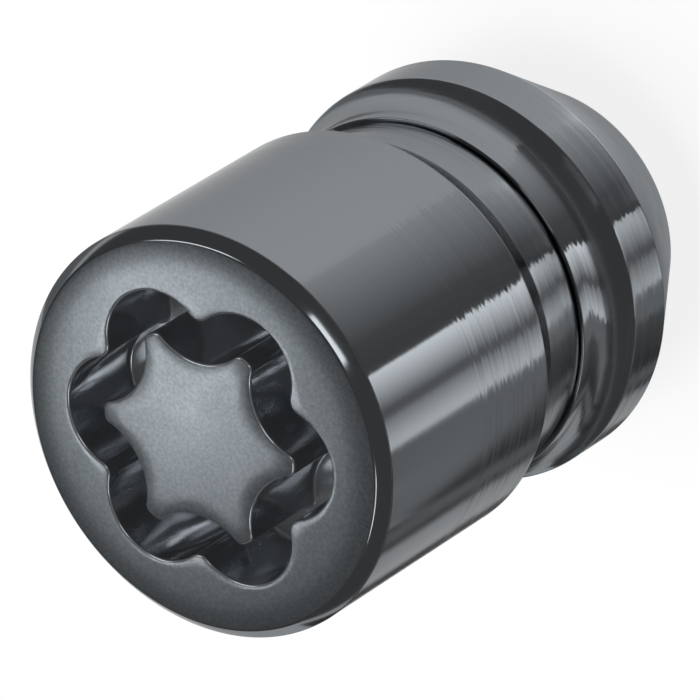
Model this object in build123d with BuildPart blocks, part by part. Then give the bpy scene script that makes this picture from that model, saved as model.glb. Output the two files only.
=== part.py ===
from build123d import *
import math
import os

# Locking wheel nut, all sizes in mm.
# The nut stands on its seat end: z = 0 is the end that meets the wheel, and
# the key face is on top. The Z axis is the axis of the thread.

# Whole nut. The barrel, the long cylinder, takes what the other lengths leave.
barrel_dia = 22.0
total_height = 32.0            # seat end to the crown of the key face

# Key face, turned very slightly domed, with a bevel around it
crown_height = 0.4             # rise of the dome from the face edge to the axis
bevel_width = 0.6              # seen from above
bevel_height = 0.7
face_edge_rounding = 0.12

# Cone seat that centres the wheel
seat_angle = 60.0              # included angle of the cone
seat_small_dia = 14.9
seat_edge_rounding = 0.15

# Collar above the seat, as wide as the barrel
collar_height = 2.75
collar_edge_rounding = 0.12

# Flare that sweeps in from the collar to the foot of the neck
flare_height = 2.35
foot_depth = 1.05              # below the barrel's surface
foot_height = 0.8

# Thin turned groove between foot and neck
groove_width = 0.25
groove_depth = 0.25

# Neck, and the chamfer that leads from it out to the barrel
neck_depth = 1.25              # below the barrel's surface
neck_height = 2.55
neck_chamfer_angle = 30.0      # from the axis

# Threaded hole, entered from the seat end. The solid has the tapping bore,
# on which the crests of an M12 x 1.5 thread stand.
tapping_dia = 10.5
mouth_dia = 12.9               # 45 degree lead-in
web_thickness = 6.0            # steel between the bore and the key groove
drill_point_angle = 118.0

# Key groove: a closed wavy groove, with round lobes in its outer wall and a
# star boss inside it whose tips point into the lobes
lobe_count = 6
key_depth = 5.3                # from the outer lip to the floor
key_width = 2.2
lobe_radius = 3.08
lobe_centre_radius = 4.9       # the lobes' arcs are centred this far out
cusp_radius = 0.7              # rounding between two lobes
hollow_radius = 3.48           # the boss between two tips
tip_rounding = 0.44
lip_chamfer = 0.12

tolerance = 0.01               # for picking edges by their place

# Radii and heights that follow from the sizes above, from the seat end up
barrel_radius = barrel_dia / 2
neck_radius = barrel_radius - neck_depth
foot_radius = barrel_radius - foot_depth
groove_radius = neck_radius - groove_depth
seat_radius = seat_small_dia / 2
tapping_radius = tapping_dia / 2
mouth_radius = mouth_dia / 2
face_radius = barrel_radius - bevel_width
mouth_depth = mouth_radius - tapping_radius
seat_height = (barrel_radius - seat_radius) / math.tan(math.radians(seat_angle / 2))
collar_top_z = seat_height + collar_height
flare_top_z = collar_top_z + flare_height
groove_bottom_z = flare_top_z + foot_height
groove_top_z = groove_bottom_z + groove_width
neck_top_z = groove_top_z + neck_height
neck_chamfer_height = neck_depth / math.tan(math.radians(neck_chamfer_angle))
barrel_rear_z = neck_top_z + neck_chamfer_height
face_edge_z = total_height - crown_height
barrel_front_z = face_edge_z - bevel_height

# Dome of the key face: an arc from the face edge to the crown
dome_radius = (face_radius**2 + crown_height**2) / (2 * crown_height)
dome_half_angle = math.asin(face_radius / dome_radius) / 2
dome_middle = (
    dome_radius * math.sin(dome_half_angle),
    total_height - dome_radius * (1 - math.cos(dome_half_angle)),
)

# Flare: an arc that leaves the foot along the axis and ends at the collar
flare_radius = (foot_depth**2 + flare_height**2) / (2 * foot_depth)
flare_half_angle = math.asin(flare_height / flare_radius) / 2
flare_middle = (
    foot_radius + flare_radius * (1 - math.cos(flare_half_angle)),
    flare_top_z - flare_radius * math.sin(flare_half_angle),
)

# Key groove: the boss keeps the same distance from the outer wall at the
# lobes, where its tips are, as at the cusps, where its hollows are
half_pitch = math.radians(180 / lobe_count)
lip_radius = lobe_centre_radius + lobe_radius
cusp_centre_radius = lobe_centre_radius * math.cos(half_pitch) + math.sqrt(
    (lobe_radius + cusp_radius) ** 2 - (lobe_centre_radius * math.sin(half_pitch)) ** 2
)
tip_radius = lip_radius - key_width
hollow_centre_radius = cusp_centre_radius - cusp_radius - key_width + hollow_radius
lip_z = total_height - dome_radius + math.sqrt(dome_radius**2 - lip_radius**2)
key_floor_z = lip_z - key_depth
bore_depth = key_floor_z - web_thickness
drill_point_z = bore_depth + tapping_radius / math.tan(math.radians(drill_point_angle / 2))


# Nut body: turned outside and bored blind in one revolved profile, then the
# key groove is sunk into the face
with BuildPart() as nut_body:
    with BuildSketch(Plane.XZ):
        with BuildLine():
            Polyline(
                (0, drill_point_z),
                (tapping_radius, bore_depth),
                (tapping_radius, mouth_depth),
                (mouth_radius, 0),
                (seat_radius, 0),
                (barrel_radius, seat_height),
                (barrel_radius, collar_top_z),
            )
            ThreePointArc((barrel_radius, collar_top_z), flare_middle, (foot_radius, flare_top_z))
            Polyline(
                (foot_radius, flare_top_z),
                (foot_radius, groove_bottom_z),
                (groove_radius, groove_bottom_z),
                (groove_radius, groove_top_z),
                (neck_radius, groove_top_z),
                (neck_radius, neck_top_z),
                (barrel_radius, barrel_rear_z),
                (barrel_radius, barrel_front_z),
                (face_radius, face_edge_z),
            )
            ThreePointArc((face_radius, face_edge_z), dome_middle, (0, total_height))
            Line((0, total_height), (0, drill_point_z))
        make_face()
    revolve(axis=Axis.Z)

    # Small roundings on three turned edges
    rims = (
        (seat_radius, 0, seat_edge_rounding),
        (barrel_radius, collar_top_z, collar_edge_rounding),
        (face_radius, face_edge_z, face_edge_rounding),
    )
    for rim_radius, rim_z, rounding in rims:
        rim = nut_body.edges().filter_by(
            lambda e: e.geom_type == GeomType.CIRCLE
            and abs(e.radius - rim_radius) < tolerance
            and abs(e.arc_center.Z - rim_z) < tolerance
        )
        fillet(rim, rounding)

    # Key groove, from above the crown down to its flat floor
    with BuildSketch(Plane.XY.offset(key_floor_z)) as key_groove:
        Circle(lobe_centre_radius)
        with PolarLocations(lobe_centre_radius, lobe_count):
            Circle(lobe_radius)
        fillet(key_groove.vertices(), cusp_radius)
        with BuildSketch(mode=Mode.SUBTRACT) as star:
            Circle(tip_radius)
            with PolarLocations(hollow_centre_radius, lobe_count, start_angle=180 / lobe_count):
                Circle(hollow_radius, mode=Mode.SUBTRACT)
            fillet(star.vertices(), tip_rounding)
    extrude(amount=total_height - key_floor_z + crown_height, mode=Mode.SUBTRACT)

    # Broken lips of the groove and of the boss
    groove_middle_z = key_floor_z + key_depth / 2
    lips = nut_body.edges(Select.LAST).filter_by(lambda e: e.bounding_box().min.Z > groove_middle_z)
    chamfer(lips, lip_chamfer)

nut_body.part.label = "nut_body"
os.makedirs("parts", exist_ok=True)
export_step(nut_body.part, "parts/nut_body.step")
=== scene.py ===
import math

import bmesh
import bpy
from mathutils import Matrix, Vector


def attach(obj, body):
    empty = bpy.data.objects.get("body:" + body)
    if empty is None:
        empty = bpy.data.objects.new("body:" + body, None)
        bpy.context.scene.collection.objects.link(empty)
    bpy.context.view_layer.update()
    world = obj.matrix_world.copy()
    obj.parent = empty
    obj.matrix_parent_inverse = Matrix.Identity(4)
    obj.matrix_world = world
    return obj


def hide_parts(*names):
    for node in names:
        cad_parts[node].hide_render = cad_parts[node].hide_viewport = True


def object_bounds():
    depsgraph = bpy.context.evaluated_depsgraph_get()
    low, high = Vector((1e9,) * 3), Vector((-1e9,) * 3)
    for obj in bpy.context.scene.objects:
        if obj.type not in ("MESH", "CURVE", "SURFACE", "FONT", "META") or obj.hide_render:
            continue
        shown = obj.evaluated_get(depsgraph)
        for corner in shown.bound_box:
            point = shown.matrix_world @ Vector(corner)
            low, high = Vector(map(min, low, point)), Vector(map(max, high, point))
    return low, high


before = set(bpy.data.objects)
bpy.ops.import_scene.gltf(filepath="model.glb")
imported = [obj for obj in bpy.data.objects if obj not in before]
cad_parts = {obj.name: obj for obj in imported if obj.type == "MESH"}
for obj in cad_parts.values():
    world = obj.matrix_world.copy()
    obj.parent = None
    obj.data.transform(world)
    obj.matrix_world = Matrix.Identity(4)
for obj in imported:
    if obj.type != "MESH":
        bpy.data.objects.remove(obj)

# Locking wheel nut: a turned and chromed steel nut with a wavy key groove in
# its face. It stands on its seat end at z = 0, and the Z axis is the axis of
# its thread. Lengths are in metres.

bl_info = {
    "name": "Locking wheel nut",
    "version": (1, 0, 0),
    "blender": (4, 5, 0),
    "location": "View3D > Sidebar > Wheel nut",
    "description": "Models a locking wheel nut, its finish and a small photo stage",
    "category": "Object",
}

MM = 0.001
NEAR = 0.002 * MM  # points closer than this are one point
CAD_LOW, CAD_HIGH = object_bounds()
Z_AXIS = (0.0, 0.0, 1.0)
NUT_NAME = "nut_body_dressed"
CAMERA_AZIMUTH = math.radians(9.9)
SMOOTH_BELOW = math.radians(35)  # edges that turn by less are shaded smooth

# How far out from the barrel the mirrored cards of painted reflection begin and end
PAINTED_REFLECTION_NEAR = 1.0 * MM
PAINTED_REFLECTION_NECK = 4.6 * MM     # up to here the chamfer mirrors them, by way of the neck
PAINTED_REFLECTION_CLOSE = 5.2 * MM
PAINTED_REFLECTION_COLLAR = 8.2 * MM   # up to here the collar mirrors them
PAINTED_REFLECTION_BREAK = 13.5 * MM   # where the slanted dark card begins to slant
PAINTED_REFLECTION_SLANT = 30.0 * MM
PAINTED_REFLECTION_MIDDLE = 33.0 * MM  # up to here the barrel mirrors them
PAINTED_REFLECTION_FAR = 400.0 * MM
PAINTED_REFLECTION_LIFT = 0.2 * MM     # of the lowest card over the table
PAINTED_REFLECTION_STEP = 0.02 * MM    # from one card up to the next


def length(name, description, default):
    """A size in metres."""
    return bpy.props.FloatProperty(
        name=name, description=description, default=default, min=0.0, precision=5,
        subtype="DISTANCE", unit="LENGTH",
    )


def angle(name, description, degrees):
    """An angle, given in degrees and kept in radians."""
    return bpy.props.FloatProperty(
        name=name, description=description, default=math.radians(degrees),
        subtype="ANGLE", unit="ROTATION",
    )


def colour(name, description, default):
    """A linear colour."""
    return bpy.props.FloatVectorProperty(
        name=name, description=description, default=default, min=0.0, max=1.0, size=3,
        subtype="COLOR",
    )


def factor(name, description, default):
    """A number from 0 to 1."""
    return bpy.props.FloatProperty(
        name=name, description=description, default=default, min=0.0, max=1.0, subtype="FACTOR"
    )


def power(name, description, default):
    """The power of a lamp, in watts."""
    return bpy.props.FloatProperty(
        name=name, description=description, default=default, min=0.0, subtype="POWER", unit="POWER"
    )


class NutSizes(bpy.types.PropertyGroup):
    """Sizes of the turned body and of its thread"""

    height: length("Height", "Seat end to the crown of the key face", CAD_HIGH.z)
    barrel_radius: length("Barrel radius", "Of the barrel and the collar", CAD_HIGH.x)
    crown_height: length("Crown", "Rise of the domed key face", 0.4 * MM)
    bevel_width: length("Bevel width", "Bevel around the key face, from above", 0.6 * MM)
    bevel_height: length("Bevel height", "Bevel around the key face", 0.7 * MM)
    seat_angle: angle("Seat angle", "Included angle of the cone seat", 60.0)
    seat_radius: length("Seat radius", "Small end of the cone seat", 7.45 * MM)
    collar_height: length("Collar height", "Cylinder above the cone seat", 2.75 * MM)
    flare_height: length("Flare height", "Sweep from the collar to the foot", 2.35 * MM)
    foot_depth: length("Foot depth", "Foot below the barrel's surface", 1.05 * MM)
    foot_height: length("Foot height", "Foot between flare and groove", 0.8 * MM)
    groove_width: length("Groove width", "Thin turned groove", 0.18 * MM)
    groove_depth: length("Groove depth", "Thin turned groove, from the neck", 0.25 * MM)
    neck_depth: length("Neck depth", "Neck below the barrel's surface", 1.25 * MM)
    neck_height: length("Neck height", "Neck between groove and chamfer", 2.62 * MM)
    chamfer_angle: angle("Neck chamfer", "Chamfer up to the barrel, from the axis", 30.0)
    bore_radius: length("Bore radius", "Tapping bore, at the crests of the thread", 5.25 * MM)
    mouth_radius: length("Mouth radius", "Lead-in of the threaded hole", 6.45 * MM)
    web_thickness: length("Web", "Steel between the bore and the key groove", 6.0 * MM)
    drill_angle: angle("Drill point", "Included angle at the end of the bore", 118.0)
    thread_radius: length("Thread radius", "Roots of the thread", 6.0 * MM)
    thread_pitch: length("Thread pitch", "One turn of the thread", 1.5 * MM)
    thread_angle: angle("Thread angle", "Included angle of the thread", 60.0)
    thread_runout: length("Thread run-out", "Plain bore beyond the thread", 2.0 * MM)
    rim_fall: length("Rim fall", "Roll-off of the key face at its rim", 0.08 * MM)
    rim_reach: length("Rim reach", "Width of the roll-off", 1.5 * MM)
    rim_rounding: length("Rim rounding", "Width of the rounding at the three bright rims", 0.08 * MM)
    edge_rounding: length("Edge rounding", "Width of the other turned roundings", 0.06 * MM)


class KeySizes(bpy.types.PropertyGroup):
    """Sizes of the key groove and of the star boss inside it"""

    lobes: bpy.props.IntProperty(
        name="Lobes", description="Lobes of the groove and tips of the boss", default=6, min=3
    )
    depth: length("Depth", "From the outer lip to the floor", 5.3 * MM)
    width: length("Width", "Between the outer wall and the boss", 2.2 * MM)
    lobe_radius: length("Lobe radius", "Outer wall, one lobe", 3.08 * MM)
    lobe_centre: length("Lobe centres", "How far out the lobes' arcs are centred", 4.9 * MM)
    cusp_radius: length("Cusp radius", "Outer wall, between two lobes", 0.7 * MM)
    hollow_radius: length("Hollow radius", "Boss, between two tips", 3.48 * MM)
    tip_rounding: length("Tip rounding", "Boss, both sides of a tip", 0.44 * MM)
    lip_rounding: length("Lip rounding", "Lips of the groove and the boss", 0.15 * MM)
    floor_rounding: length("Floor rounding", "Where the walls meet the floor", 0.2 * MM)


class NutFinish(bpy.types.PropertyGroup):
    """Colours and gloss of the plated steel"""

    plating: colour("Plating", "Dark chrome on the turned outside", (0.227, 0.245, 0.26))
    satin: colour("Satin", "Dark chrome on the key face", (0.263, 0.288, 0.308))
    inside: colour("Inside", "Steel in the threaded hole", (0.2, 0.2, 0.2))
    edge_tint: factor("Edge tint", "How bright the plating is at a glancing angle", 0.58)
    turned_roughness: factor("Turned roughness", "Outside, mean of both directions", 0.1)
    turned_stretch: factor("Turned stretch", "How much the turning stretches a glint", 1.0)
    bevel_roughness: factor("Bevel roughness", "Bevel around the key face", 0.11)
    satin_roughness: factor("Satin roughness", "Key face", 0.3)
    grain_depth: length("Grain depth", "Relief of the satin grain", 1.2e-6)
    grain_share: factor("Grain share", "How much lighter and darker the satin grain is", 0.14)
    groove: colour("Groove", "Dark chrome in the key groove", (0.37, 0.39, 0.408))
    groove_metal: factor("Groove metal", "What isn't a dull film, in the key groove", 0.86)
    groove_roughness: factor("Groove roughness", "Walls and floor of the key groove", 0.13)
    seat: colour("Seat", "Matte cone seat", (0.28, 0.3, 0.318))
    seat_roughness: factor("Seat roughness", "Cone seat", 0.5)
    inside_roughness: factor("Inside roughness", "Threaded hole", 0.35)
    streak_roughness: factor("Streak roughness", "Added in the coarser turning marks", 0.09)
    wander: factor("Wander", "How far the turning marks shift a glint around the nut", 0.022)
    mark_depth: length("Mark depth", "Turning marks on the outside and in the key groove", 0.8e-6)
    seat_mark_depth: length("Seat mark depth", "Turning marks on the cone seat", 1.0e-6)
    bevel_mark_depth: length("Bevel mark depth", "Turning marks on the bevel", 0.2e-6)
    tap_mark_depth: length("Tap mark depth", "Marks of the tap in the threaded hole", 1.0e-6)
    marks_rest: factor("Marks' rest", "What is left of the turning marks beyond their reach", 0.12)
    marks_height: length("Marks' reach", "Of the turning marks, up the barrel", 6.0 * MM)


class StageLook(bpy.types.PropertyGroup):
    """Floor, light and camera"""

    floor: colour("Floor", "Pale table top", (0.86, 0.86, 0.86))
    whiteness: factor("Whiteness", "White share of the table as seen and mirrored", 0.85)
    floor_radius: length("Floor radius", "Round table top", 2.5)
    surround: factor("Surround", "Light that comes from all round", 0.13)
    key_power: power("Table light", "Large softbox over the table", 22.0)
    face_power: power("Face light", "Softbox that shows in the key face", 0.1)
    side_power: power("Side lights", "Softboxes that glint on the edges, for each metre of width", 0.65)


def cusp_centre_radius(k):
    """How far out the arcs of the key groove's cusps are centred."""
    half = math.pi / k.lobes
    return k.lobe_centre * math.cos(half) + math.sqrt(
        (k.lobe_radius + k.cusp_radius) ** 2 - (k.lobe_centre * math.sin(half)) ** 2
    )


def places():
    """The sizes of the body and of the key, and the radii and heights that follow from them."""
    s, k = bpy.context.scene.nut_sizes, bpy.context.scene.key_sizes
    p = {
        "neck_r": s.barrel_radius - s.neck_depth,
        "foot_r": s.barrel_radius - s.foot_depth,
        "face_r": s.barrel_radius - s.bevel_width,
        "lip_r": k.lobe_centre + k.lobe_radius,
        "hollow_r": cusp_centre_radius(k) - k.cusp_radius - k.width,
        "mouth_z": s.mouth_radius - s.bore_radius,
        "seat_z": (s.barrel_radius - s.seat_radius) / math.tan(s.seat_angle / 2),
        "face_z": s.height - s.crown_height,
    }
    p["rim_z"] = p["face_z"] - s.rim_fall
    p["groove_r"] = p["neck_r"] - s.groove_depth
    p["tip_r"] = p["lip_r"] - k.width
    p["collar_z"] = p["seat_z"] + s.collar_height
    p["flare_z"] = p["collar_z"] + s.flare_height
    p["groove_low_z"] = p["flare_z"] + s.foot_height
    p["groove_high_z"] = p["groove_low_z"] + s.groove_width
    p["neck_z"] = p["groove_high_z"] + s.neck_height
    p["barrel_low_z"] = p["neck_z"] + s.neck_depth / math.tan(s.chamfer_angle)
    p["barrel_high_z"] = p["face_z"] - s.bevel_height
    p["key_floor_z"] = s.height - s.crown_height * (p["lip_r"] / p["face_r"]) ** 2 - k.depth
    p["bore_z"] = p["key_floor_z"] - s.web_thickness
    p["drill_z"] = p["bore_z"] + s.bore_radius / math.tan(s.drill_angle / 2)
    return s, k, p


def begin(name):
    """A new piece at the origin, in edit mode, with one vertex that is selected."""
    bpy.ops.object.select_all(action="DESELECT")
    bpy.ops.mesh.primitive_plane_add(size=MM)
    piece = bpy.context.object
    piece.name = piece.data.name = name
    bpy.ops.object.mode_set(mode="EDIT")
    bpy.ops.mesh.select_mode(type="VERT")
    bpy.ops.mesh.select_all(action="SELECT")
    bpy.ops.mesh.merge(type="CENTER")
    return piece


def edit(piece):
    """Opens one piece in edit mode."""
    bpy.ops.object.select_all(action="DESELECT")
    bpy.context.view_layer.objects.active = piece
    piece.select_set(True)
    bpy.ops.object.mode_set(mode="EDIT")


def end():
    """Closes edit mode."""
    bpy.ops.object.mode_set(mode="OBJECT")


def pick(piece, kind, test, needed=True):
    """Selects only the vertices, edges or faces of a piece that pass a test."""
    bpy.ops.mesh.select_mode(type=kind)
    bpy.ops.mesh.select_all(action="DESELECT")
    mesh = bmesh.from_edit_mesh(piece.data)
    elements = {"VERT": mesh.verts, "EDGE": mesh.edges, "FACE": mesh.faces}[kind]
    found = [e for e in elements if test(e)]
    if needed and not found:
        raise RuntimeError(f"nothing to pick on {piece.name}")
    for e in found:
        e.select_set(True)
    mesh.select_flush_mode()
    bmesh.update_edit_mesh(piece.data)


def radius(vertex):
    """How far a vertex is from the Z axis."""
    return math.hypot(vertex.co.x, vertex.co.y)


def on_ring(edge, ring_radius, z):
    """True for an edge of the turned ring with that radius and height."""
    return all(abs(radius(v) - ring_radius) < NEAR and abs(v.co.z - z) < NEAR for v in edge.verts)


def extrude_through(points):
    """Extrudes the selected vertex, which is the first point, through the others: (radius, z)."""
    for (r0, z0), (r1, z1) in zip(points, points[1:]):
        bpy.ops.mesh.extrude_region_move(TRANSFORM_OT_translate={"value": (r1 - r0, 0, z1 - z0)})


def swing(centre, turn, steps, axis=Z_AXIS):
    """Extrudes what is selected along an arc, anticlockwise as seen from the axis's tip."""
    bpy.ops.mesh.spin(steps=steps, angle=-turn, center=centre, axis=axis)


def polar(r, azimuth, z=0.0):
    """A point at a radius, an azimuth from the X axis, and a height."""
    return Vector((r * math.cos(azimuth), r * math.sin(azimuth), z))


def weld():
    """Makes one vertex of those of the open piece that lie at one place."""
    bpy.ops.mesh.select_all(action="SELECT")
    bpy.ops.mesh.remove_doubles(threshold=NEAR)


def repeat_around(count):
    """Copies all of the open piece around the Z axis and welds the copies' ends."""
    bpy.ops.mesh.select_all(action="SELECT")
    turn = math.tau * (count - 1) / count
    bpy.ops.mesh.spin(steps=count - 1, dupli=True, angle=turn, center=(0, 0, 0), axis=Z_AXIS)
    weld()


def round_off(width, segments):
    """Rounds the selected edges."""
    bpy.ops.mesh.bevel(
        affect="EDGES", offset_type="OFFSET", offset=width, segments=segments, profile=0.5,
        clamp_overlap=False,
    )


def join(*parts):
    """Joins pieces into the first one and welds them where they meet."""
    bpy.ops.object.select_all(action="DESELECT")
    for part in parts:
        part.select_set(True)
    bpy.context.view_layer.objects.active = parts[0]
    bpy.ops.object.join()
    edit(parts[0])
    weld()
    end()
    return parts[0]


def apply_modifier(piece, kind, **settings):
    """Adds one modifier to a piece and applies it."""
    bpy.ops.object.select_all(action="DESELECT")
    bpy.context.view_layer.objects.active = piece
    piece.select_set(True)
    bpy.ops.object.modifier_add(type=kind)
    modifier = piece.modifiers[-1]
    for name, value in settings.items():
        setattr(modifier, name, value)
    bpy.ops.object.modifier_apply(modifier=modifier.name)


# Steps of the arcs in one lobe's share of a key outline. Both outlines have the
# same number of steps, so that the rings between them are all four-sided.
LOBE_STEPS = 44
CUSP_STEPS = 16
TIP_STEPS = 4
TIP_ROUND_STEPS = 10
HOLLOW_STEPS = LOBE_STEPS + CUSP_STEPS - TIP_STEPS - 2 * TIP_ROUND_STEPS
FLARE_STEPS = 12
FACE_RINGS = 2                 # between the groove's lip and the roll-off
RIM_RINGS = 5                  # on the roll-off of the face
BOSS_RINGS = (0.75, 0.5, 0.25)  # on the boss, as shares of its outline
THREAD_STEPS = 96
TAP_OVERLAP = 0.1 * MM         # how far the tap's core stays inside the bore
LATHE_ROUND_STEPS = 3
LIP_ROUND_STEPS = 4


def lobed_outline(k, z):
    """Draws the groove's outer wall as a closed line: lobes with rounded cusps between them."""
    half = math.pi / k.lobes
    lobe_centre = polar(k.lobe_centre, 0, z)
    cusp_centre = polar(cusp_centre_radius(k), half, z)
    turn = math.atan2(cusp_centre.y, cusp_centre.x - lobe_centre.x)
    bpy.ops.transform.translate(value=lobe_centre + polar(k.lobe_radius, -turn))
    swing(lobe_centre, 2 * turn, LOBE_STEPS)
    swing(cusp_centre, 2 * (half - turn), CUSP_STEPS)
    repeat_around(k.lobes)


def star_outline(k, p, z):
    """Draws the boss's wall as a closed line: narrow tips with hollows between them."""
    half = math.pi / k.lobes
    hollow_centre = p["hollow_r"] + k.hollow_radius
    round_centre = p["tip_r"] - k.tip_rounding
    reach = k.hollow_radius + k.tip_rounding
    at_axis = math.acos(
        (round_centre**2 + hollow_centre**2 - reach**2) / (2 * round_centre * hollow_centre)
    )
    at_round = math.acos((round_centre**2 + reach**2 - hollow_centre**2) / (2 * round_centre * reach))
    at_hollow = math.pi - at_axis - at_round
    tip = half - at_axis
    bpy.ops.transform.translate(value=polar(p["tip_r"], -tip, z))
    swing((0, 0, z), 2 * tip, TIP_STEPS)
    swing(polar(round_centre, tip, z), math.pi - at_round, TIP_ROUND_STEPS)
    swing(polar(hollow_centre, half, z), -2 * at_hollow, HOLLOW_STEPS)
    swing(polar(round_centre, 2 * half - tip, z), math.pi - at_round, TIP_ROUND_STEPS)
    repeat_around(k.lobes)


def turned_body(s, p, steps):
    """The outside, the seat end and the plain bore: one profile, spun around the axis."""
    body = begin(NUT_NAME)
    bpy.ops.transform.translate(value=(p["face_r"], 0, p["rim_z"]))
    extrude_through((
        (p["face_r"], p["rim_z"]),
        (s.barrel_radius, p["barrel_high_z"]),
        (s.barrel_radius, p["barrel_low_z"]),
        (p["neck_r"], p["neck_z"]),
        (p["neck_r"], p["groove_high_z"]),
        (p["groove_r"], p["groove_high_z"]),
        (p["groove_r"], p["groove_low_z"]),
        (p["foot_r"], p["groove_low_z"]),
        (p["foot_r"], p["flare_z"]),
    ))
    flare_radius = (s.foot_depth**2 + s.flare_height**2) / (2 * s.foot_depth)
    flare_turn = math.asin(s.flare_height / flare_radius)
    swing((p["foot_r"] + flare_radius, 0, p["flare_z"]), -flare_turn, FLARE_STEPS, (0, 1, 0))
    extrude_through((
        (s.barrel_radius, p["collar_z"]),
        (s.barrel_radius, p["seat_z"]),
        (s.seat_radius, 0),
        (s.mouth_radius, 0),
        (s.bore_radius, p["mouth_z"]),
        (s.bore_radius, p["bore_z"]),
        (0, p["drill_z"]),
    ))
    bpy.ops.mesh.select_all(action="SELECT")
    swing((0, 0, 0), math.tau, steps)
    weld()
    end()
    return body


def key_face(s, k, p, steps):
    """The domed key face: the ring around the groove, the top of the boss, then walls and floor."""
    face = begin("key_face")
    lobed_outline(k, p["face_z"])
    inner = p["face_r"] - s.rim_reach
    bpy.ops.mesh.primitive_circle_add(vertices=steps, radius=inner, location=(0, 0, p["face_z"]))
    bpy.ops.mesh.select_all(action="SELECT")
    bpy.ops.mesh.bridge_edge_loops(number_cuts=FACE_RINGS, interpolation="LINEAR")
    pick(face, "EDGE", lambda e: on_ring(e, inner, p["face_z"]))
    for ring in range(RIM_RINGS):
        grown = 1 + s.rim_reach / RIM_RINGS / (inner + ring * s.rim_reach / RIM_RINGS)
        bpy.ops.mesh.extrude_region_move()
        bpy.ops.transform.resize(value=(grown, grown, 1), center_override=(0, 0, 0))
    end()

    boss = begin("boss_top")
    star_outline(k, p, p["face_z"])
    for last, share in zip((1.0,) + BOSS_RINGS, BOSS_RINGS):
        bpy.ops.mesh.extrude_region_move()
        bpy.ops.transform.resize(value=(share / last, share / last, 1), center_override=(0, 0, 0))
    bpy.ops.mesh.extrude_region_move()
    bpy.ops.mesh.merge(type="CENTER")
    end()

    join(face, boss)
    edit(face)
    pick(face, "FACE", lambda f: f.normal.z < 0, needed=False)
    bpy.ops.mesh.flip_normals()
    pick(face, "VERT", lambda v: radius(v) < NEAR)
    bpy.ops.transform.translate(
        value=(0, 0, s.crown_height), use_proportional_edit=True,
        proportional_edit_falloff="INVERSE_SQUARE", proportional_size=p["face_r"],
    )
    pick(face, "VERT", lambda v: abs(radius(v) - p["face_r"]) < NEAR)
    bpy.ops.transform.translate(
        value=(0, 0, -s.rim_fall), use_proportional_edit=True, use_proportional_connected=True,
        proportional_edit_falloff="SHARP", proportional_size=s.rim_reach,
    )
    lip_limit = (p["lip_r"] + p["face_r"]) / 2
    pick(face, "EDGE", lambda e: e.is_boundary and radius(e.verts[0]) < lip_limit)
    bpy.ops.mesh.extrude_region_move(TRANSFORM_OT_translate={"value": (0, 0, -k.depth)})
    bpy.ops.transform.resize(value=(1, 1, 0), center_override=(0, 0, p["key_floor_z"]))
    bpy.ops.mesh.bridge_edge_loops()
    end()
    return face


def round_edges(body, s, k, p):
    """Rounds the turned edges, the lips of the key groove and of the boss, and the floor's corners."""
    rims = (
        (p["face_r"], p["rim_z"]),
        (p["foot_r"], p["groove_low_z"]),
        (s.barrel_radius, p["collar_z"]),
    )
    edges = (
        (s.barrel_radius, p["barrel_high_z"]),
        (s.barrel_radius, p["barrel_low_z"]),
        (p["neck_r"], p["neck_z"]),
        (p["neck_r"], p["groove_high_z"]),
        (s.barrel_radius, p["seat_z"]),
        (s.seat_radius, 0),
        (s.mouth_radius, 0),
    )
    edit(body)
    pick(body, "EDGE", lambda e: any(on_ring(e, *ring) for ring in rims))
    round_off(s.rim_rounding, LATHE_ROUND_STEPS)
    pick(body, "EDGE", lambda e: any(on_ring(e, *ring) for ring in edges))
    round_off(s.edge_rounding, LATHE_ROUND_STEPS)

    def meets_wall(e, low, high):
        tilts = sorted(abs(f.normal.z) for f in e.link_faces)
        in_key = low < e.verts[0].co.z < high and radius(e.verts[0]) < p["lip_r"] + NEAR
        return in_key and tilts[0] < 0.2 and tilts[-1] > 0.9

    middle = p["key_floor_z"] + k.depth / 2
    pick(body, "EDGE", lambda e: meets_wall(e, middle, s.height))
    round_off(k.lip_rounding, LIP_ROUND_STEPS)
    pick(body, "EDGE", lambda e: meets_wall(e, p["key_floor_z"] - NEAR, middle))
    round_off(k.floor_rounding, LIP_ROUND_STEPS)
    end()


def cut_thread(body, s, p):
    """Cuts the thread into the bore with a tap: one turn's profile, screwed along the axis."""
    tap = begin("tap")
    root = s.bore_radius - TAP_OVERLAP
    flank = (s.thread_radius - root) * math.tan(s.thread_angle / 2)
    crest = s.thread_pitch / 8  # the usual flat at a metric thread's root
    land = (s.thread_pitch - crest - 2 * flank) / 2
    start = -2 * s.thread_pitch
    bpy.ops.transform.translate(value=(root, 0, start))
    heights = (0, land, land + flank, land + flank + crest, s.thread_pitch - land, s.thread_pitch)
    radii = (root, root, s.thread_radius, s.thread_radius, root, root)
    extrude_through([(r, start + h) for r, h in zip(radii, heights)])
    end()
    top = p["bore_z"] - s.thread_runout
    turns = math.ceil((top - start) / s.thread_pitch) + 1
    apply_modifier(
        tap, "SCREW", screw_offset=s.thread_pitch, iterations=turns, steps=THREAD_STEPS,
        render_steps=THREAD_STEPS, use_merge_vertices=True, merge_threshold=NEAR,
    )
    edit(tap)
    weld()
    for height, side in ((top, "clear_outer"), (start / 4, "clear_inner")):
        bpy.ops.mesh.select_all(action="SELECT")
        bpy.ops.mesh.bisect(
            plane_co=(0, 0, height), plane_no=Z_AXIS, threshold=NEAR / 10, use_fill=True, **{side: True}
        )
    bpy.ops.mesh.select_all(action="SELECT")
    bpy.ops.mesh.normals_make_consistent(inside=False)
    end()
    apply_modifier(body, "BOOLEAN", operation="DIFFERENCE", solver="EXACT", object=tap)
    bpy.data.objects.remove(tap)


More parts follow.
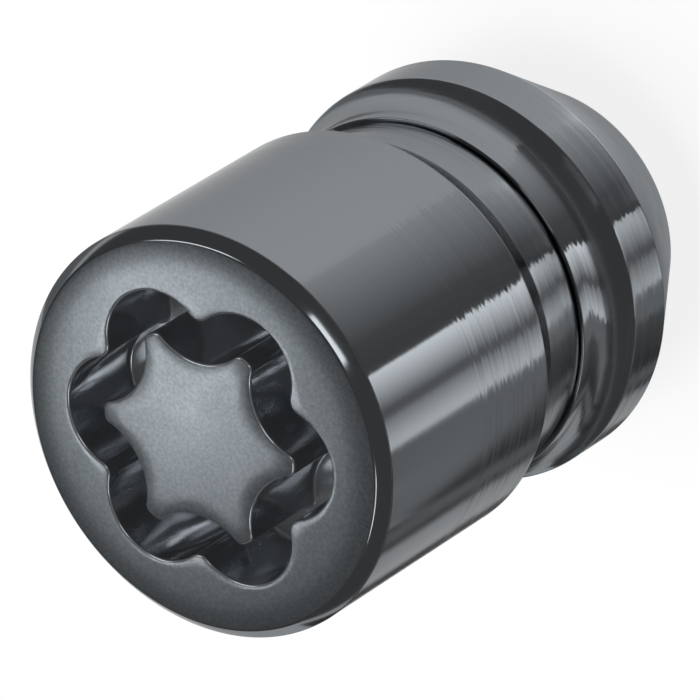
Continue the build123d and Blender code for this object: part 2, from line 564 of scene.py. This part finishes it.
def add_node(material, kind, **values):
    """One node, with values on its inputs by name, or with settings of the node itself."""
    node = material.node_tree.nodes.new(kind)
    for name, value in values.items():
        if name in node.inputs:
            node.inputs[name].default_value = value
        else:
            setattr(node, name, value)
    return node


def link(material, source, output, target, target_input):
    """Links a node's output to another node's input."""
    material.node_tree.links.new(source.outputs[output], target.inputs[target_input])


def metal(name, base, roughness, edge, **settings):
    """A plated or bare metal, with its shader node and its object coordinates."""
    material = bpy.data.materials.new(name)
    material.use_nodes = True
    shader = material.node_tree.nodes["Principled BSDF"]
    shader.inputs["Base Color"].default_value = (*base, 1.0)
    shader.inputs["Metallic"].default_value = 1.0
    shader.inputs["Roughness"].default_value = roughness
    shader.inputs["Specular Tint"].default_value = (edge, edge, edge, 1.0)
    for socket, value in settings.items():
        shader.inputs[socket.replace("_", " ")].default_value = value
    place = add_node(material, "ShaderNodeTexCoord")
    return material, shader, place


def grain(material, place, scale, detail, stretch=(1, 1, 1)):
    """Noise on the object's own coordinates, with its features drawn out by a stretch."""
    mapping = add_node(material, "ShaderNodeMapping", vector_type="POINT", Scale=stretch)
    noise = add_node(material, "ShaderNodeTexNoise", Scale=scale, Detail=detail, Roughness=0.6)
    link(material, place, "Object", mapping, "Vector")
    link(material, mapping, "Vector", noise, "Vector")
    return noise


def between(material, source, output, target, socket, low, high, source_low=0.3, source_high=0.7):
    """Carries a pattern to a socket, spread from a low value to a high one."""
    spread = add_node(material, "ShaderNodeMapRange")
    for name, value in (
        ("From Min", source_low), ("From Max", source_high), ("To Min", low), ("To Max", high)
    ):
        spread.inputs[name].default_value = value
    link(material, source, output, spread, "Value")
    if target:
        link(material, spread, "Result", target, socket)
    return spread


def relief(material, shader, source, output, height, normal=None):
    """Bumps the surface with a pattern, from its lowest to its highest by a height."""
    bump = add_node(material, "ShaderNodeBump", Strength=1.0, Distance=height)
    link(material, source, output, bump, "Height")
    if normal:
        link(material, normal, "Vector", bump, "Normal")
    link(material, bump, "Normal", shader, "Normal")


def around_axis(material, shader):
    """Turns the shader's stretched glints around the thread's axis."""
    tangent = add_node(material, "ShaderNodeTangent", direction_type="RADIAL", axis="Z")
    link(material, tangent, "Tangent", shader, "Tangent")


MARKS_FADE = 2.0 * MM  # height over which the turning marks fade out on the barrel


def turned_chrome(name, look, edge, marks_end):
    """Dark chrome over turned steel: the marks of the tool show up to a height on the barrel."""
    material, shader, place = metal(
        name, look.plating, look.turned_roughness, edge,
        Anisotropic=look.turned_stretch, Anisotropic_Rotation=0.25,
    )
    around_axis(material, shader)
    split = add_node(material, "ShaderNodeSeparateXYZ")
    link(material, place, "Object", split, "Vector")
    fade = between(
        material, split, "Z", None, None, 1.0, look.marks_rest,
        marks_end - MARKS_FADE / 2, marks_end + MARKS_FADE / 2,
    )
    fade.interpolation_type = "SMOOTHSTEP"

    def faded(source, output, start=0.0):
        """The pattern where the marks show, added to a start."""
        product = add_node(material, "ShaderNodeMath", operation="MULTIPLY_ADD")
        link(material, source, output, product, 0)
        link(material, fade, "Result", product, 1)
        product.inputs[2].default_value = start
        return product

    rings = grain(material, place, 1.0, 2.0, (30, 30, 6500))
    shift = between(material, rings, "Fac", None, None, -look.wander, look.wander)
    around = add_node(material, "ShaderNodeTangent", direction_type="RADIAL", axis="Z")
    shifted = add_node(material, "ShaderNodeVectorMath", operation="SCALE")
    link(material, around, "Tangent", shifted, "Vector")
    link(material, faded(shift, "Result"), "Value", shifted, "Scale")
    surface = add_node(material, "ShaderNodeNewGeometry")
    normal = add_node(material, "ShaderNodeVectorMath", operation="ADD")
    link(material, surface, "Normal", normal, 0)
    link(material, shifted, "Vector", normal, 1)
    unit = add_node(material, "ShaderNodeVectorMath", operation="NORMALIZE")
    link(material, normal, "Vector", unit, 0)
    marks = grain(material, place, 1.0, 3.0, (60, 60, 9000))
    relief(material, shader, faded(marks, "Fac"), "Value", look.mark_depth, unit)
    streaks = grain(material, place, 1.0, 2.0, (25, 25, 4500))
    spread = between(material, streaks, "Fac", None, None, 0.0, look.streak_roughness, 0.45, 0.75)
    link(material, faded(spread, "Result", look.turned_roughness), "Value", shader, "Roughness")
    return material


def satin_chrome(look):
    """Dark chrome over a blasted key face: fine grain and soft clouds."""
    material, shader, place = metal(
        "satin_dark_chrome", look.satin, look.satin_roughness, look.edge_tint
    )
    fine = grain(material, place, 5500, 3.0)
    relief(material, shader, fine, "Fac", look.grain_depth)
    shade = between(
        material, fine, "Fac", None, None, 1 - look.grain_share, 1 + look.grain_share, 0.35, 0.65
    )
    tinted = add_node(material, "ShaderNodeVectorMath", operation="SCALE")
    tinted.inputs[0].default_value = look.satin
    link(material, shade, "Result", tinted, "Scale")
    link(material, tinted, "Vector", shader, "Base Color")
    clouds = grain(material, place, 450, 3.0)
    between(
        material, clouds, "Fac", shader, "Roughness",
        look.satin_roughness * 0.95, look.satin_roughness * 1.05,
    )
    return material


def groove_chrome(look):
    """Dark chrome on the walls and the floor of the key groove, with marks along the axis."""
    material, shader, place = metal(
        "groove_dark_chrome", look.groove, look.groove_roughness, 1.0, Metallic=look.groove_metal
    )
    marks = grain(material, place, 1.0, 2.0, (3000, 3000, 150))
    relief(material, shader, marks, "Fac", look.mark_depth)
    smears = grain(material, place, 700, 2.0)
    between(
        material, smears, "Fac", shader, "Roughness",
        look.groove_roughness * 0.8, look.groove_roughness * 1.2,
    )
    return material


def ringed_finish(name, base, roughness, edge, mark_depth):
    """A turned surface that doesn't stretch its glints, with faint turning marks."""
    material, shader, place = metal(name, base, roughness, edge)
    marks = grain(material, place, 1.0, 3.0, (200, 200, 7000))
    relief(material, shader, marks, "Fac", mark_depth)
    clouds = grain(material, place, 600, 2.0)
    between(material, clouds, "Fac", shader, "Roughness", roughness * 0.9, roughness * 1.1)
    return material


def thread_steel(look):
    """Thinly plated steel in the threaded hole, with the marks of the tap around it."""
    material, shader, place = metal(
        "threaded_steel", look.inside, look.inside_roughness, 1.0,
        Anisotropic=0.5, Anisotropic_Rotation=0.25,
    )
    around_axis(material, shader)
    marks = grain(material, place, 1.0, 3.0, (300, 300, 12000))
    relief(material, shader, marks, "Fac", look.tap_mark_depth)
    clouds = grain(material, place, 900, 3.0)
    between(
        material, clouds, "Fac", shader, "Roughness",
        look.inside_roughness * 0.85, look.inside_roughness * 1.2,
    )
    return material


def floor_finish(look):
    """A plain pale table top with a faint mottle, shown nearly white with the nut's shadow."""
    material = bpy.data.materials.new("pale_table")
    material.use_nodes = True
    shader = material.node_tree.nodes["Principled BSDF"]
    shader.inputs["Base Color"].default_value = (*look.floor, 1.0)
    shader.inputs["Specular IOR Level"].default_value = 0.0
    place = add_node(material, "ShaderNodeTexCoord")
    mottle = grain(material, place, 40, 2.0)
    between(material, mottle, "Fac", shader, "Roughness", 0.85, 0.95)
    white = add_node(material, "ShaderNodeEmission", Strength=1.0)
    path = add_node(material, "ShaderNodeLightPath")
    seen = add_node(material, "ShaderNodeMath", operation="ADD")
    link(material, path, "Is Camera Ray", seen, 0)
    link(material, path, "Is Glossy Ray", seen, 1)
    also = add_node(material, "ShaderNodeMath", operation="ADD", use_clamp=True)
    link(material, seen, "Value", also, 0)
    link(material, path, "Is Transmission Ray", also, 1)
    share = add_node(material, "ShaderNodeMath", operation="MULTIPLY")
    link(material, also, "Value", share, 0)
    share.inputs[1].default_value = look.whiteness
    mix = add_node(material, "ShaderNodeMixShader")
    link(material, share, "Value", mix, 0)
    link(material, shader, "BSDF", mix, 1)
    link(material, white, "Emission", mix, 2)
    link(material, mix, "Shader", material.node_tree.nodes["Material Output"], "Surface")
    return material


def assign(piece, slot_index, test):
    """Gives a material slot to the faces that pass a test."""
    edit(piece)
    pick(piece, "FACE", test)
    piece.active_material_index = slot_index
    bpy.ops.object.material_slot_assign()
    end()


def dress(piece, s, k, p, look):
    """Gives each zone of the nut its finish. The first finish is everywhere else."""
    marks_end = p["barrel_low_z"] + look.marks_height
    wall_limit = p["lip_r"] + k.lip_rounding + NEAR
    bevel_limit = p["face_r"] - s.rim_rounding

    def out(face):
        """How far the face's middle is from the axis."""
        return math.hypot(*face.calc_center_median().xy)

    def height(face):
        """How high the face's middle is."""
        return face.calc_center_median().z

    def in_key(face):
        return height(face) > p["key_floor_z"] - NEAR and out(face) < wall_limit

    def on_face(face):
        return height(face) > p["rim_z"] and face.normal.z > 0.95

    def on_seat(face):
        return height(face) < p["seat_z"] and out(face) > s.mouth_radius and face.normal.z < -0.2

    def on_bevel(face):
        return height(face) > p["barrel_high_z"] and out(face) > bevel_limit

    def on_chamfer(face):
        return p["neck_z"] < height(face) < p["barrel_low_z"] and out(face) > p["neck_r"]

    def in_bore(face):
        return height(face) < p["drill_z"] + NEAR and out(face) < s.mouth_radius

    piece.data.materials.append(turned_chrome("turned_dark_chrome", look, look.edge_tint, marks_end))
    for slot_index, (finish, test) in enumerate((
        (groove_chrome(look), in_key),
        (satin_chrome(look), on_face),
        (ringed_finish(
            "matte_seat", look.seat, look.seat_roughness, look.edge_tint, look.seat_mark_depth
        ), on_seat),
        (ringed_finish(
            "bevel_dark_chrome", look.plating, look.bevel_roughness, look.edge_tint, look.bevel_mark_depth
        ), on_bevel),
        # The chamfer gets a copy of the turned plating with a full edge tint, brighter at a glancing
        # angle than the rest: painted light that lightens its mirrored neck.
        (turned_chrome("chamfer_chrome_painted_lighter", look, 1.0, marks_end), on_chamfer),
        (thread_steel(look), in_bore),
    ), start=1):
        piece.data.materials.append(finish)
        assign(piece, slot_index, test)


def direction(azimuth, elevation):
    """A unit vector. Azimuth 0 is the nut's -Y side and 90 degrees its +X side."""
    flat = math.cos(elevation)
    return Vector((flat * math.sin(azimuth), -flat * math.cos(azimuth), math.sin(elevation)))


def softbox(name, azimuth, elevation, distance, width, height, watts):
    """A rectangular white softbox that faces the nut's middle. Azimuth and elevation in degrees."""
    outward = direction(math.radians(azimuth), math.radians(elevation))
    data = bpy.data.lights.new(name, "AREA")
    data.shape = "RECTANGLE"
    data.size = width
    data.size_y = height
    data.energy = watts
    lamp = bpy.data.objects.new(name, data)
    bpy.context.scene.collection.objects.link(lamp)
    lamp.location = Vector((0, 0, CAD_HIGH.z / 2)) + outward * distance
    lamp.rotation_euler = (-outward).to_track_quat("-Z", "Y").to_euler()
    lamp.visible_camera = False
    return lamp


def painted_reflection_card(
    name, lift, first, last, first_glow, last_glow, near=PAINTED_REFLECTION_NEAR, far=PAINTED_REFLECTION_MIDDLE, far_first=None
):
    """A glowing card just over the table that only the metal mirrors, between two places around the
    barrel: a painted reflection, pale for a painted highlight and dark for painted shade.

    The barrel mirrors the camera's ray at a place down to the table, along a line that
    leaves the barrel there and runs twice as far round. The card's sides are two such lines,
    or the first one crosses them where its far end has a place of its own.
    Its glow goes evenly from the first side's to the last side's.
    """
    bpy.ops.object.select_all(action="DESELECT")
    bpy.ops.mesh.primitive_plane_add(size=2.0)
    sheet = bpy.context.object
    sheet.name = sheet.data.name = name
    edit(sheet)
    for x, y, place, reach in (
        (-1, -1, first, near), (1, -1, last, near),
        (-1, 1, first if far_first is None else far_first, far), (1, 1, last, far),
    ):
        pick(sheet, "VERT", lambda v: (v.co - Vector((x, y, 0))).length < NEAR)
        on_barrel = direction(CAMERA_AZIMUTH - math.radians(place), 0.0) * CAD_HIGH.x
        run = direction(CAMERA_AZIMUTH - math.radians(2 * place), 0.0) * reach
        bpy.ops.transform.translate(value=on_barrel + run + Vector((-x, -y, lift)))
    end()
    material = bpy.data.materials.new(name)
    material.use_nodes = True
    material.node_tree.nodes.remove(material.node_tree.nodes["Principled BSDF"])
    # The card's glow is painted light: an emission that only the metal's reflections show.
    glow = add_node(material, "ShaderNodeEmission")
    place = add_node(material, "ShaderNodeTexCoord")
    middle = math.radians(first + last)
    focus = direction(CAMERA_AZIMUTH, 0.0) * CAD_HIGH.x / (2 * math.cos(middle / 2))
    facing = CAMERA_AZIMUTH - middle - math.pi / 2
    fan = add_node(
        material, "ShaderNodeMapping", vector_type="TEXTURE", Location=focus, Rotation=(0, 0, facing)
    )
    angle_share = add_node(material, "ShaderNodeTexGradient", gradient_type="RADIAL")
    link(material, place, "Object", fan, "Vector")
    link(material, fan, "Vector", angle_share, "Vector")
    half = (last - first) / 360
    between(
        material, angle_share, "Fac", glow, "Strength", last_glow, first_glow, 0.5 - half, 0.5 + half
    )
    link(material, glow, "Emission", material.node_tree.nodes["Material Output"], "Surface")
    sheet.data.materials.append(material)
    sheet.visible_camera = sheet.visible_diffuse = sheet.visible_shadow = False
    sheet.visible_transmission = sheet.visible_volume_scatter = False


def table_top(look):
    """A round table top under the nut."""
    bpy.ops.object.select_all(action="DESELECT")
    bpy.ops.mesh.primitive_circle_add(vertices=96, radius=look.floor_radius, fill_type="NGON")
    table = bpy.context.object
    table.name = table.data.name = "table_top"
    edit(table)
    bpy.ops.mesh.select_all(action="SELECT")
    bpy.ops.mesh.inset(thickness=look.floor_radius / 2)
    end()
    table.data.materials.append(floor_finish(look))


def surroundings(look):
    """Plain grey light from all round."""
    world = bpy.data.worlds.new("plain_room")
    bpy.context.scene.world = world
    world.use_nodes = True
    background = world.node_tree.nodes["Background"]
    background.inputs["Color"].default_value = (1.0, 1.0, 1.0, 1.0)
    background.inputs["Strength"].default_value = look.surround


def lamps(look):
    """The lamp over the table, which the metal doesn't mirror, and the softboxes that it does."""
    over = softbox(
        "table_light", azimuth=185, elevation=80, distance=1.2, width=1.0, height=1.0,
        watts=look.key_power,
    )
    over.visible_glossy = False
    softbox(
        "face_light", azimuth=183, elevation=50, distance=0.5, width=0.085, height=0.025,
        watts=look.face_power,
    )
    for number, (azimuth, width) in enumerate(((110, 0.25), (18, 0.15), (282, 0.19)), start=1):
        side = softbox(
            f"side_light_{number}", azimuth, elevation=48, distance=0.4, width=width, height=0.07,
            watts=look.side_power * width,
        )
        side.visible_diffuse = False


def painted_reflection_cards():
    """Pale and dark glowing cards on the table around the nut, hidden from the camera: painted
    reflections in the metal, the pale ones painted highlights and the dark ones painted shade.

    Each row is a card: its first and last place in degrees, its glow at both, and where it
    begins and ends. A later card lies over the ones before it.
    """
    rows = (
        (-80, -50, 0.36, 0.36, 2 * PAINTED_REFLECTION_MIDDLE, PAINTED_REFLECTION_FAR),
        (-50, -20, 0.36, 0.3, 2 * PAINTED_REFLECTION_MIDDLE, PAINTED_REFLECTION_FAR),
        (-20, 10, 0.08, 0.08, PAINTED_REFLECTION_MIDDLE, PAINTED_REFLECTION_FAR),
        (10, 40, 0.08, 0.08, PAINTED_REFLECTION_MIDDLE, PAINTED_REFLECTION_FAR),
        (40, 70, 0.08, 0.08, PAINTED_REFLECTION_MIDDLE, PAINTED_REFLECTION_FAR),
        (-20, 1, 0.88, 0.22),
        (1, 9.6, 0.21, 0.16),
        (9.6, 19.5, 2.4, 0.36),
        (19.5, 22, 0.3, 0.3),
        (22, 30.5, 0.55, 1.9),
        (30.5, 52, 0.4, 0.55),
        (38.5, 54.5, 0.24, 0.06, PAINTED_REFLECTION_NEAR, PAINTED_REFLECTION_BREAK),
        (38.5, 54.5, 0.24, 0.06, PAINTED_REFLECTION_BREAK, PAINTED_REFLECTION_SLANT, 54.4),
        (54.5, 59, 0.42, 0.38),
        (59, 62.2, 0.1, 0.1),
        (75.5, 84, 0.1, 0.1),
        (9.6, 19.5, 1.6, 0.3, PAINTED_REFLECTION_CLOSE, PAINTED_REFLECTION_COLLAR),
        (22, 30.5, 0.45, 1.4, PAINTED_REFLECTION_CLOSE, PAINTED_REFLECTION_COLLAR),
        (-52, -20, 1.1, 2.8, PAINTED_REFLECTION_NEAR, PAINTED_REFLECTION_NECK),
        (-20, 8, 2.8, 0.5, PAINTED_REFLECTION_NEAR, PAINTED_REFLECTION_NECK),
        (8, 50, 0.2, 0.2, PAINTED_REFLECTION_NEAR, PAINTED_REFLECTION_CLOSE),
    )
    # Each card's glow is painted light, seen only in the metal's reflections.
    for number, row in enumerate(rows):
        painted_reflection_card(f"card_{number + 1}", PAINTED_REFLECTION_LIFT + PAINTED_REFLECTION_STEP * number, *row)


def camera(scene):
    """A long lens that looks down on the key face, rolled as in the photograph."""
    place = Vector((55.589, -327.86, 393.878)) * MM
    aim = Vector((-0.433, 1.28, 17.183)) * MM
    roll = math.radians(121.814)
    ahead = (aim - place).normalized()
    level = ahead.cross(Vector(Z_AXIS)).normalized()
    upright = level.cross(ahead)
    right = level * math.cos(roll) - upright * math.sin(roll)
    up = level * math.sin(roll) + upright * math.cos(roll)
    data = bpy.data.cameras.new("camera")
    data.sensor_fit = "HORIZONTAL"
    data.sensor_width = 36.0
    data.lens = 509.32
    data.clip_start = 0.05
    data.clip_end = 20.0
    eye = bpy.data.objects.new("camera", data)
    scene.collection.objects.link(eye)
    turn = Matrix((right, up, -ahead)).transposed().to_4x4()
    eye.matrix_world = Matrix.Translation(place) @ turn
    scene.camera = eye
    scene.view_settings.view_transform = "Standard"


class WHEELNUT_OT_model(bpy.types.Operator):
    """Model the nut in one piece: turned outside, key face, key groove and threaded hole"""

    bl_idname = "wheelnut.model"
    bl_label = "Model the nut"
    bl_options = {"REGISTER", "UNDO"}

    def execute(self, context):
        s, k, p = places()
        steps = k.lobes * (LOBE_STEPS + CUSP_STEPS)
        nut = join(turned_body(s, p, steps), key_face(s, k, p, steps))
        edit(nut)
        bpy.ops.mesh.select_all(action="SELECT")
        bpy.ops.mesh.normals_make_consistent(inside=False)
        end()
        round_edges(nut, s, k, p)
        cut_thread(nut, s, p)
        bpy.ops.object.shade_smooth_by_angle(angle=SMOOTH_BELOW)
        apply_modifier(nut, "WEIGHTED_NORMAL", mode="FACE_AREA", keep_sharp=True)
        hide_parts("nut_body")
        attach(nut, "root")
        return {"FINISHED"}


class WHEELNUT_OT_finish(bpy.types.Operator):
    """Give each zone of the nut its finish"""

    bl_idname = "wheelnut.finish"
    bl_label = "Finish the nut"
    bl_options = {"REGISTER", "UNDO"}

    def execute(self, context):
        s, k, p = places()
        dress(bpy.data.objects[NUT_NAME], s, k, p, context.scene.nut_finish)
        return {"FINISHED"}


class WHEELNUT_OT_stage(bpy.types.Operator):
    """Add the table, the lamps and the camera"""

    bl_idname = "wheelnut.stage"
    bl_label = "Set the stage"
    bl_options = {"REGISTER", "UNDO"}

    def execute(self, context):
        look = context.scene.nut_stage
        table_top(look)
        surroundings(look)
        lamps(look)
        painted_reflection_cards()
        camera(context.scene)
        return {"FINISHED"}


class WHEELNUT_PT_panel(bpy.types.Panel):
    """The nut's sizes, finishes and stage, with the operators that make them"""

    bl_idname = "WHEELNUT_PT_panel"
    bl_label = "Locking wheel nut"
    bl_space_type = "VIEW_3D"
    bl_region_type = "UI"
    bl_category = "Wheel nut"

    def draw(self, context):
        scene = context.scene
        for group, operators in (
            ((scene.nut_sizes, scene.key_sizes), (WHEELNUT_OT_model,)),
            ((scene.nut_finish,), (WHEELNUT_OT_finish,)),
            ((scene.nut_stage,), (WHEELNUT_OT_stage,)),
        ):
            box = self.layout.box()
            for settings in group:
                for name in settings.__annotations__:
                    box.prop(settings, name)
            for operator in operators:
                box.operator(operator.bl_idname)


GROUPS = {
    "nut_sizes": NutSizes,
    "key_sizes": KeySizes,
    "nut_finish": NutFinish,
    "nut_stage": StageLook,
}
CLASSES = (
    *GROUPS.values(), WHEELNUT_OT_model, WHEELNUT_OT_finish, WHEELNUT_OT_stage, WHEELNUT_PT_panel
)


def register():
    """Adds the classes to Blender, and the settings to its scenes."""
    for cls in CLASSES:
        bpy.utils.register_class(cls)
    for name, group in GROUPS.items():
        setattr(bpy.types.Scene, name, bpy.props.PointerProperty(type=group))


def unregister():
    """Takes away what register added."""
    for name in GROUPS:
        delattr(bpy.types.Scene, name)
    for cls in reversed(CLASSES):
        bpy.utils.unregister_class(cls)


def main():
    """Makes the nut and its stage."""
    register()
    bpy.ops.wheelnut.model()
    bpy.ops.wheelnut.finish()
    bpy.ops.wheelnut.stage()


if __name__ == "__main__":
    main()
